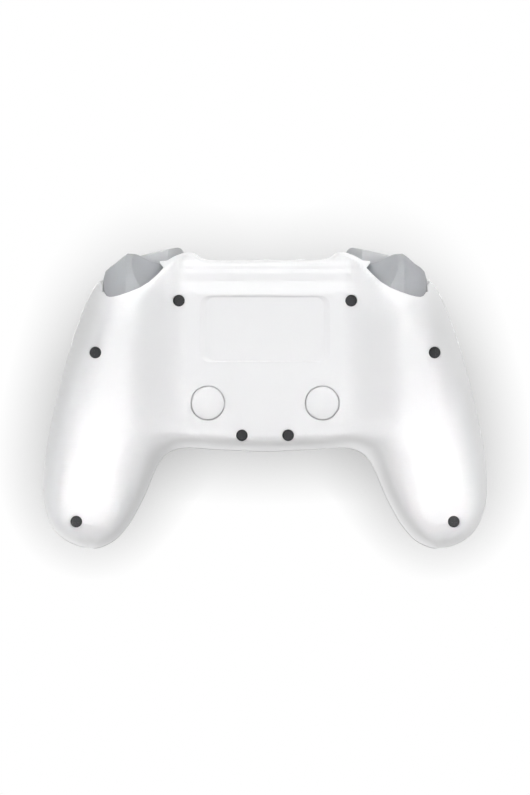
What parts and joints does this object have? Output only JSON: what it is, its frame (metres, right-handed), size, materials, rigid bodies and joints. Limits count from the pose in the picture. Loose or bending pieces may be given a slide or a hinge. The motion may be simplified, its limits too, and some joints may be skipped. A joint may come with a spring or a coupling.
{
  "type": "gamepad controller",
  "caption": "Two-grip white gamepad with grey triggers, bumpers, thumbsticks, direction pad, face buttons and round back buttons.",
  "frame": {"origin": "on the table under the middle of the pad, which lies on its back", "axes": "+X to the player's right along the width, +Y toward the bumpers, +Z out of the face"},
  "size_m": [0.1542, 0.105, 0.053],
  "materials": {
    "shell_white": "satin white",
    "control_grey": "cool grey, satin",
    "stick_grey": "soft-touch grey",
    "dark_screw": "black oxide",
    "steel": "plain steel",
    "board_green": "solder mask",
    "chip_black": "moulded epoxy",
    "battery_blue": "shrink wrap",
    "dome_rubber": "silicone",
    "inner_plastic": "as moulded",
    "light_pipe": "clear diffuser"
  },
  "bodies": {
    "case": {"rear_shell": "shell_white", "front_shell": "shell_white", "rear_screws": "dark_screw", "main_board": "board_green", "board_chips": "chip_black", "board_screws": "steel", "usb_socket": "steel", "pairing_switch": "chip_black", "battery_pack": "battery_blue", "back_button_board": "board_green", "back_button_domes": "dome_rubber", "bracket_screws": "steel", "bumper_switches": "chip_black", "stick_switches": "chip_black", "dpad_post": "inner_plastic", "dpad_mat": "dome_rubber", "face_button_mat": "dome_rubber", "small_button_domes": "dome_rubber", "player_lights": "light_pipe", "left_trigger_pin": "steel", "left_trigger_spring": "steel", "left_trigger_bracket": "inner_plastic", "left_bumper_pin": "steel", "left_rumble_motor": "steel", "left_stick_housing": "steel", "right_trigger_pin": "steel", "right_trigger_spring": "steel", "right_trigger_bracket": "inner_plastic", "right_bumper_pin": "steel", "right_rumble_motor": "steel", "right_stick_housing": "steel"},
    "left_back_button": {"left_back_button": "shell_white"},
    "left_trigger": {"left_trigger": "control_grey"},
    "left_bumper": {"left_bumper": "control_grey"},
    "left_rumble_weight": {"left_rumble_weight": "steel"},
    "left_stick_yoke": {"left_stick_yoke": "chip_black"},
    "left_stick_rocker": {"left_stick_rocker": "inner_plastic"},
    "left_stick_cap": {"left_stick_cap": "stick_grey"},
    "right_back_button": {"right_back_button": "shell_white"},
    "right_trigger": {"right_trigger": "control_grey"},
    "right_bumper": {"right_bumper": "control_grey"},
    "right_rumble_weight": {"right_rumble_weight": "steel"},
    "right_stick_yoke": {"right_stick_yoke": "chip_black"},
    "right_stick_rocker": {"right_stick_rocker": "inner_plastic"},
    "right_stick_cap": {"right_stick_cap": "stick_grey"},
    "dpad": {"dpad": "control_grey"},
    "dpad_ball": {"dpad_ball": "steel"},
    "pairing_button": {"pairing_button": "shell_white"},
    "north_button": {"north_button": "control_grey"},
    "east_button": {"east_button": "control_grey"},
    "south_button": {"south_button": "control_grey"},
    "west_button": {"west_button": "control_grey"},
    "minus_button": {"minus_button": "control_grey"},
    "plus_button": {"plus_button": "control_grey"},
    "capture_button": {"capture_button": "control_grey"},
    "home_button": {"home_button": "control_grey"}
  },
  "joints": [
    {"name": "analog_trigger_left_pull", "type": "hinge", "parent": "case", "child": "left_trigger", "pos_m": [-0.0456, 0.036, 0.023], "axis": [-1, 0, 0], "range_deg": [0, 14], "stiffness_Nm_per_rad": 0.08, "deforming": ["left_trigger_spring"]},
    {"name": "analog_trigger_right_pull", "type": "hinge", "parent": "case", "child": "right_trigger", "pos_m": [0.0456, 0.036, 0.023], "axis": [-1, 0, 0], "range_deg": [0, 14], "stiffness_Nm_per_rad": 0.08, "deforming": ["right_trigger_spring"]},
    {"name": "back_button_left_press", "type": "slide", "parent": "case", "child": "left_back_button", "axis": [0, 0, 1], "range_m": [0, 0.0008], "stiffness_N_per_m": 120, "deforming": ["back_button_domes"]},
    {"name": "back_button_right_press", "type": "slide", "parent": "case", "child": "right_back_button", "axis": [0, 0, 1], "range_m": [0, 0.0008], "stiffness_N_per_m": 120, "deforming": ["back_button_domes"]},
    {"name": "bumper_left_swing", "type": "hinge", "parent": "case", "child": "left_bumper", "pos_m": [-0.0306, 0.0452, 0.032], "axis": [0, 0, 1], "range_deg": [0, 3.5], "stiffness_Nm_per_rad": 0.06},
    {"name": "bumper_right_swing", "type": "hinge", "parent": "case", "child": "right_bumper", "pos_m": [0.0306, 0.0452, 0.032], "axis": [0, 0, -1], "range_deg": [0, 3.5], "stiffness_Nm_per_rad": 0.06},
    {"name": "dpad_rock_x", "type": "hinge", "parent": "case", "child": "dpad_ball", "pos_m": [-0.0225, 0.001, 0.0335], "axis": [1, 0, 0], "range_deg": [-4, 4], "stiffness_Nm_per_rad": 0.01, "deforming": ["dpad_mat"]},
    {"name": "dpad_rock_y", "type": "hinge", "parent": "dpad_ball", "child": "dpad", "pos_m": [-0.0225, 0.001, 0.0335], "axis": [0, 1, 0], "range_deg": [-4, 4], "stiffness_Nm_per_rad": 0.01, "deforming": ["dpad_mat"]},
    {"name": "face_button_north_press", "type": "slide", "parent": "case", "child": "north_button", "axis": [0, 0, -1], "range_m": [0, 0.0014], "stiffness_N_per_m": 120, "deforming": ["face_button_mat"]},
    {"name": "face_button_east_press", "type": "slide", "parent": "case", "child": "east_button", "axis": [0, 0, -1], "range_m": [0, 0.0014], "stiffness_N_per_m": 120, "deforming": ["face_button_mat"]},
    {"name": "face_button_south_press", "type": "slide", "parent": "case", "child": "south_button", "axis": [0, 0, -1], "range_m": [0, 0.0014], "stiffness_N_per_m": 120, "deforming": ["face_button_mat"]},
    {"name": "face_button_west_press", "type": "slide", "parent": "case", "child": "west_button", "axis": [0, 0, -1], "range_m": [0, 0.0014], "stiffness_N_per_m": 120, "deforming": ["face_button_mat"]},
    {"name": "pairing_button_press", "type": "slide", "parent": "case", "child": "pairing_button", "axis": [0, -1, 0], "range_m": [0, 0.0005], "stiffness_N_per_m": 120},
    {"name": "small_button_minus_press", "type": "slide", "parent": "case", "child": "minus_button", "axis": [0, 0, -1], "range_m": [0, 0.0008], "stiffness_N_per_m": 120, "deforming": ["small_button_domes"]},
    {"name": "small_button_plus_press", "type": "slide", "parent": "case", "child": "plus_button", "axis": [0, 0, -1], "range_m": [0, 0.0008], "stiffness_N_per_m": 120, "deforming": ["small_button_domes"]},
    {"name": "small_button_capture_press", "type": "slide", "parent": "case", "child": "capture_button", "axis": [0, 0, -1], "range_m": [0, 0.0008], "stiffness_N_per_m": 120, "deforming": ["small_button_domes"]},
    {"name": "small_button_home_press", "type": "slide", "parent": "case", "child": "home_button", "axis": [0, 0, -1], "range_m": [0, 0.0008], "stiffness_N_per_m": 120, "deforming": ["small_button_domes"]},
    {"name": "stick_left_tilt_x", "type": "hinge", "parent": "case", "child": "left_stick_yoke", "pos_m": [-0.041, 0.0185, 0.034], "axis": [1, 0, 0], "range_deg": [-16, 16], "stiffness_Nm_per_rad": 0.02},
    {"name": "stick_left_tilt_y", "type": "hinge", "parent": "left_stick_yoke", "child": "left_stick_rocker", "pos_m": [-0.041, 0.0185, 0.034], "axis": [0, 1, 0], "range_deg": [-16, 16], "stiffness_Nm_per_rad": 0.02},
    {"name": "stick_left_click", "type": "slide", "parent": "left_stick_rocker", "child": "left_stick_cap", "axis": [0, 0, -1], "range_m": [0, 0.0005], "stiffness_N_per_m": 400},
    {"name": "stick_right_tilt_x", "type": "hinge", "parent": "case", "child": "right_stick_yoke", "pos_m": [0.0225, 0, 0.034], "axis": [1, 0, 0], "range_deg": [-16, 16], "stiffness_Nm_per_rad": 0.02},
    {"name": "stick_right_tilt_y", "type": "hinge", "parent": "right_stick_yoke", "child": "right_stick_rocker", "pos_m": [0.0225, 0, 0.034], "axis": [0, 1, 0], "range_deg": [-16, 16], "stiffness_Nm_per_rad": 0.02},
    {"name": "stick_right_click", "type": "slide", "parent": "right_stick_rocker", "child": "right_stick_cap", "axis": [0, 0, -1], "range_m": [0, 0.0005], "stiffness_N_per_m": 400},
    {"name": "weight_left_spin", "type": "hinge", "parent": "case", "child": "left_rumble_weight", "pos_m": [-0.0585, -0.025, 0.014], "axis": [0, 1, 0], "continuous": true},
    {"name": "weight_right_spin", "type": "hinge", "parent": "case", "child": "right_rumble_weight", "pos_m": [0.0585, -0.025, 0.014], "axis": [0, 1, 0], "continuous": true}
  ]
}
